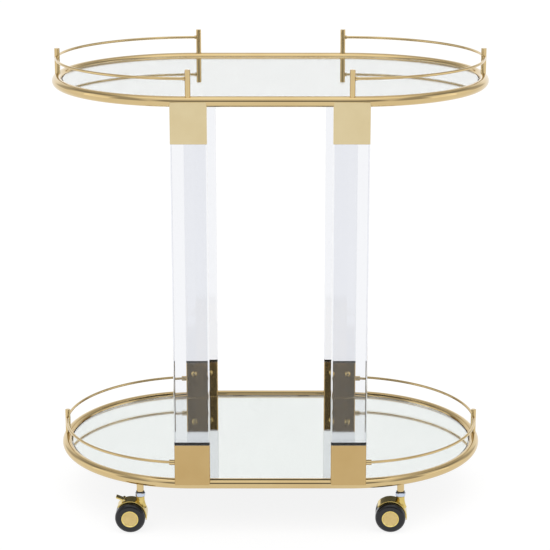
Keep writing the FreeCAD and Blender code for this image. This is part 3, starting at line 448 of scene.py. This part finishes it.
def socket_sleeve(low, high, opens_up, outside, seat):
    """One sleeve. outside is the side along Y that faces out; seat is where its inner wall stops."""
    middle = (low + high) / 2
    bpy.ops.mesh.primitive_cube_add(size=1, location=middle, scale=high - low)
    sleeve = bpy.context.object
    bpy.ops.object.transform_apply(location=True, rotation=True, scale=True)
    bpy.ops.object.mode_set(mode="EDIT")
    bpy.ops.mesh.select_mode(type="EDGE")
    bpy.ops.mesh.select_all(action="DESELECT")
    mesh = bmesh.from_edit_mesh(sleeve.data)
    for edge in mesh.edges:
        if abs(edge.verts[0].co.z - edge.verts[1].co.z) > 0.01:
            edge.select_set(True)
    mesh.select_flush_mode()
    bmesh.update_edit_mesh(sleeve.data)
    bpy.ops.mesh.bevel(offset=SOCKET_CORNER, segments=6, profile=0.5, affect="EDGES")
    open_z = high.z if opens_up else low.z
    shut_z = low.z if opens_up else high.z
    pick(sleeve, "FACE", lambda spot, normal: abs(spot.z - open_z) < 1e-5)
    bpy.ops.mesh.inset(thickness=SOCKET_WALL, depth=0)
    deep = (shut_z - open_z) * SOCKET_HOLLOW
    bpy.ops.mesh.extrude_region_move(TRANSFORM_OT_translate={"value": (0, 0, deep)})
    bpy.ops.mesh.select_all(action="SELECT")
    tube_y = high.y - TUBE_TO_FACE if outside > 0 else low.y + TUBE_TO_FACE
    bpy.ops.mesh.bisect(plane_co=(0, tube_y, 0), plane_no=(0, 1, 0))
    pick(sleeve, "VERT", lambda spot: abs(spot.z - shut_z) < 1e-5 and (spot.y - tube_y) * outside < -1e-4)
    bpy.ops.transform.translate(value=(0, 0, seat - shut_z))
    bpy.ops.object.mode_set(mode="OBJECT")
    eased = sleeve.modifiers.new("eased", "BEVEL")
    eased.width = SOCKET_EASE
    eased.segments = 2
    eased.limit_method = "ANGLE"
    eased.angle_limit = math.radians(50)
    apply_all(sleeve)
    return sleeve


for tray, opens_up in (("lower", True), ("upper", False)):
    glass_low, glass_high = box_of(f"{tray}_mirror")
    seat = glass_high.z + SEAT_GAP if opens_up else glass_low.z - SEAT_GAP
    for corner, side_x, side_y in CORNERS:
        low, high = box_of(f"{tray}_{corner}_socket")
        if opens_up:
            low.z = tube_height[tray]
        else:
            high.z = tube_height[tray]
        sleeve = socket_sleeve(low, high, opens_up, side_y, seat)
        finish_piece(sleeve, f"{tray}_{corner}_sleeve", sleeve_plate_painted_light_and_shade[tray], "cart_frame",
                     f"{tray}_{corner}_socket")


# ---------------------------------------------------------------- socket screws
# M6 button-head screws with a hexagon socket, brass plated, two through each sleeve's inner wall.

BRASS, BRASS_DARK = "#d9c48a", "#cab273"
screw_brass = polish(new_material("brass_plate_barrel_tumbled", BRASS, Metallic=1.0), BRASS, BRASS_DARK,
                     mottle_mm=5, line_mm=0.6, rough=0.16, depth_mm=0.004)
dress(screw_brass, "socket_screws")


# ---------------------------------------------------------------- gallery: posts, rails, collars, ferrules
# A thin rod round each end of a tray keeps bottles in. On the upper tray it is held by three posts
# with small collars, on the lower one by an end post and a ferrule on each sleeve.

POST_RADIUS = 0.0044
RAIL_RADIUS = 0.00225
POST_CHAMFER = 0.0005
RING_LENGTH = {"rail_collar": 0.003, "rail_ferrule": 0.009}
RING_EASE = 0.0004


def turned_bar(radius, length, sides, ease, place, rotation=(0, 0, 0)):
    """A short round bar with both its end edges eased."""
    bpy.ops.mesh.primitive_cylinder_add(vertices=sides, radius=radius, depth=length, location=place,
                                        rotation=rotation)
    bar = bpy.context.object
    eased = bar.modifiers.new("ease", "BEVEL")
    eased.width = ease
    eased.segments = 3
    eased.limit_method = "ANGLE"
    apply_all(bar)
    return bar


def copy_of(master):
    """A copy of a piece, with its own mesh."""
    twin = master.copy()
    twin.data = master.data.copy()
    scene.collection.objects.link(twin)
    return twin


post_high = box_of("upper_end_posts")[1]
post_top = post_high.z - tube_height["upper"]
side_high = box_of("upper_side_posts")[1]
side_post_x = side_high.x - POST_RADIUS
end_post_x = post_high.x - POST_RADIUS
post_places = {"upper_side_posts": [(sx * side_post_x, sy * BEND) for corner, sx, sy in CORNERS],
               "upper_end_posts": [(-end_post_x, 0), (end_post_x, 0)],
               "lower_end_posts": [(-end_post_x, 0), (end_post_x, 0)]}
one_post = turned_bar(POST_RADIUS, post_top, 48, POST_CHAMFER, (0, 0, 0))
for node, places in post_places.items():
    height = tube_height[node.split("_")[0]]
    for number, (x, y) in enumerate(places, start=1):
        post = copy_of(one_post)
        post.location = (x, y, height + post_top / 2)
        finish_piece(post, f"{node[:-1]}_{number}", gold_plate, "cart_frame", node)
bpy.data.objects.remove(one_post)

rail_low, rail_high = box_of("upper_right_rail")
rail_rise = (rail_low.z + rail_high.z) / 2 - tube_height["upper"]
lower_rail_low = box_of("lower_right_rail")[0]
for tray in ("upper", "lower"):
    start = rail_low.x if tray == "upper" else lower_rail_low.x
    trim = max(0, start - STRAIGHT)
    run = max(0, STRAIGHT - start)
    for side, turn in (("right", 0), ("left", math.pi)):
        rod = half_oval(BEND, STRAIGHT, RAIL_RADIUS, tube_height[tray] + rail_rise, trim, run,
                        rings=192, sides=24)
        close_ends(rod)
        bpy.ops.object.transform_apply(location=True, rotation=True, scale=True)
        rod.rotation_euler = (0, 0, turn)
        finish_piece(rod, f"{tray}_{side}_gallery_rod", gold_plate, "cart_frame",
                     f"{tray}_{side}_rail")

for node, name in (("upper_rail_collars", "rail_collar"), ("lower_rail_ferrules", "rail_ferrule")):
    low, high = box_of(node)
    radius = (high.z - low.z) / 2
    height = (high.z + low.z) / 2
    length = RING_LENGTH[name]
    one_ring = turned_bar(radius, length, 40, RING_EASE, (0, 0, 0), rotation=(0, math.pi / 2, 0))
    for corner, side_x, side_y in CORNERS:
        ring = copy_of(one_ring)
        ring.location = (side_x * (high.x - length / 2), side_y * (high.y - radius), height)
        finish_piece(ring, f"{corner}_{name}", gold_plate, "cart_frame", node)
    bpy.data.objects.remove(one_ring)


# ---------------------------------------------------------------- casters: bosses, washers and stems
# A tapped gold boss is welded under the tube at each corner. The caster's stud screws into it, with
# a black washer and a zinc-plated collar between the boss and the swivelling hood.

dress(gold_plate, "caster_bosses")
# polyamide washer, moulded: black with a satin skin
BLACK, BLACK_PALE = "#0e0e10", "#1a1a1d"
washer_black = polish(new_material("polyamide_moulded_black", BLACK), BLACK, BLACK_PALE, mottle_mm=3,
                      line_mm=0.3, rough=0.22, depth_mm=0.01)
dress(washer_black, "caster_washers")
# bright zinc plate, blue chromate: cool silver with a blue cast
ZINC, ZINC_BLUE = "#cfd6e2", "#b9c6dd"
zinc_plate = polish(new_material("zinc_plate_blue_chromate", ZINC, Metallic=1.0), ZINC, ZINC_BLUE,
                    mottle_mm=4, line_mm=0.5, rough=0.12, depth_mm=0.004)
dress(zinc_plate, "caster_stems")


# ------------------------------------------------------ casters: hoods, axles, wheels, caps, brakes
# Twin-wheel furniture casters: a die-cast hood, brass plated and bright, two black nylon wheels on
# one axle, and a pressed brass cap on each wheel's face. Two casters have a brake lever.

BRIGHT, BRIGHT_DEEP = "#dac580", "#cdb25f"
caster_brass = polish(new_material("brass_plate_on_zinc_casting", BRIGHT, Metallic=1.0), BRIGHT,
                      BRIGHT_DEEP, mottle_mm=12, line_mm=2.5, rough=0.07, depth_mm=0.012)
STEEL, STEEL_DULL = "#b6b8bc", "#a2a5aa"
axle_steel = polish(new_material("steel_ground_bright", STEEL, Metallic=1.0), STEEL, STEEL_DULL,
                    mottle_mm=6, line_mm=0.4, rough=0.2, depth_mm=0.003)
NYLON, NYLON_PALE = "#050509", "#0d0d14"
wheel_nylon = polish(new_material("polyamide_wheel_moulded", NYLON), NYLON, NYLON_PALE, mottle_mm=9,
                     line_mm=0.8, rough=0.1, depth_mm=0.01)
for corner, side_x, side_y in CORNERS:
    dress(caster_brass, f"{corner}_caster_hood")
    dress(axle_steel, f"{corner}_caster_axle")
    if f"{corner}_brake_lever" in frame["nodes"]:
        dress(caster_brass, f"{corner}_brake_lever")
        dress(axle_steel, f"{corner}_brake_pin")

# the caps' domes are brushed before plating, so their gloss is softer than the rims'; the rims are painted
# a paler gold, a painted highlight on the raised ring
DOME, DOME_DEEP = "#dcc48a", "#d0b778"
cap_dome = polish(new_material("brass_plate_on_brushed_steel", DOME, Metallic=1.0), DOME, DOME_DEEP,
                  mottle_mm=6, line_mm=0.5, rough=0.28, depth_mm=0.004)
# the rim colour is a painted highlight: a paler gold than the plate itself
RIM_PAINTED_HIGHLIGHT, RIM_PAINTED_HIGHLIGHT_DEEP = "#ecd88c", "#e0c874"
cap_rim_painted_highlight = polish(new_material("brass_plate_on_pressed_rim_painted_highlight", RIM_PAINTED_HIGHLIGHT, Metallic=1.0), RIM_PAINTED_HIGHLIGHT, RIM_PAINTED_HIGHLIGHT_DEEP,
                 mottle_mm=6, line_mm=2, rough=0.05, depth_mm=0.003)
WHEEL_RADIUS = 0.025
WHEEL_WIDTH = 0.018
WHEEL_START = 0.005
CAP_RADIUS = 0.014
CAP_DEEP = 0.0018
CAP_PROUD = 0.0005
CAP_FIT = 0.0001
CAP_EASE = 0.0004
RIM_WIDTH = 0.0018
# inset and rise of each ring: the flat of the rim, its drop to the dome, three steps up the dome
CAP_RINGS = ((0.0011, 0), (0.0005, -0.0006), (0.0030, 0.00022), (0.0035, 0.00016), (0.0030, 0.00008))
SHOULDER = 0.0065
INNER_EASE = 0.0008
PARTING_LINE = 0.0062
PARTING_WIDTH = 0.0002
PARTING_SHRINK = 0.994


def caster_wheel():
    """A moulded wheel with its outer face up: round shoulder, recessed hub, parting line."""
    bpy.ops.mesh.primitive_cylinder_add(vertices=96, radius=WHEEL_RADIUS, depth=WHEEL_WIDTH,
                                        location=(0, 0, WHEEL_WIDTH / 2))
    tread = bpy.context.object
    bpy.ops.object.transform_apply(location=True, rotation=True, scale=True)
    bpy.ops.object.mode_set(mode="EDIT")
    pick(tread, "EDGE", lambda spot: spot.z > WHEEL_WIDTH - 1e-5)
    bpy.ops.mesh.bevel(offset=SHOULDER, segments=10, profile=0.5, affect="EDGES")
    pick(tread, "EDGE", lambda spot: spot.z < 1e-5)
    bpy.ops.mesh.bevel(offset=INNER_EASE, segments=3, profile=0.5, affect="EDGES")
    for height in (PARTING_LINE - PARTING_WIDTH, PARTING_LINE, PARTING_LINE + PARTING_WIDTH):
        bpy.ops.mesh.select_all(action="SELECT")
        bpy.ops.mesh.bisect(plane_co=(0, 0, height), plane_no=(0, 0, 1))
    pick(tread, "VERT", lambda spot: abs(spot.z - PARTING_LINE) < 1e-5)
    bpy.ops.transform.resize(value=(PARTING_SHRINK, PARTING_SHRINK, 1),
                             center_override=(0, 0, PARTING_LINE))
    pick(tread, "FACE", lambda spot, normal: spot.z > WHEEL_WIDTH - 1e-5 and normal.z > 0.99)
    bpy.ops.mesh.inset(thickness=WHEEL_RADIUS - SHOULDER - CAP_RADIUS - CAP_FIT, depth=0)
    bpy.ops.mesh.extrude_region_move(TRANSFORM_OT_translate={"value": (0, 0, -CAP_DEEP)})
    bpy.ops.object.mode_set(mode="OBJECT")
    return tread


def hub_cap():
    """A pressed cap with its face up: a raised rim round a shallow dome."""
    height = CAP_DEEP + CAP_PROUD
    bpy.ops.mesh.primitive_cylinder_add(vertices=96, radius=CAP_RADIUS, depth=height,
                                        location=(0, 0, WHEEL_WIDTH + CAP_PROUD - height / 2))
    cap = bpy.context.object
    bpy.ops.object.transform_apply(location=True, rotation=True, scale=True)
    bpy.ops.object.mode_set(mode="EDIT")
    pick(cap, "EDGE", lambda spot: spot.z > WHEEL_WIDTH + CAP_PROUD - 1e-5)
    bpy.ops.mesh.bevel(offset=CAP_EASE, segments=4, profile=0.5, affect="EDGES")
    pick(cap, "FACE", lambda spot, normal: spot.z > WHEEL_WIDTH + CAP_PROUD - 1e-5 and normal.z > 0.99)
    for width, rise in CAP_RINGS:
        bpy.ops.mesh.inset(thickness=width, depth=rise)
    bpy.ops.object.mode_set(mode="OBJECT")
    return cap


spins = {joint["name"]: joint for joint in frame["joints"]}
one_wheel, one_cap = caster_wheel(), hub_cap()
for corner, side_x, side_y in CORNERS:
    for which, side in (("front", -1), ("rear", 1)):
        spin = spins[f"{corner}_{which}_wheel_spin"]
        outward = Vector(spin["axis"]) * side
        for master, name, material, slot in ((one_wheel, "tread", wheel_nylon, "wheel_nylon"),
                                             (one_cap, "hub_cap", cap_rim_painted_highlight, "caster_brass")):
            stands_for = f"{corner}_caster_{which}_" + ("wheel" if master is one_wheel else "cap")
            piece = copy_of(master)
            piece.location = Vector(spin["pos_m"]) + outward * WHEEL_START
            piece.rotation_euler = outward.to_track_quat("Z", "Y").to_euler()
            finish_piece(piece, f"{corner}_{which}_{name}", material, f"{corner}_{which}_wheel",
                         stands_for, smooth_angle=30)
            if master is one_cap:
                piece.data.materials.append(cap_dome)
                middle = Vector(spin["pos_m"]) + outward * (WHEEL_START + WHEEL_WIDTH)
                for face in piece.data.polygons:
                    inside_rim = (face.center - middle).length < CAP_RADIUS - RIM_WIDTH
                    if inside_rim and face.normal.dot(outward) > 0.9:
                        face.material_index = 1
bpy.data.objects.remove(one_wheel)
bpy.data.objects.remove(one_cap)
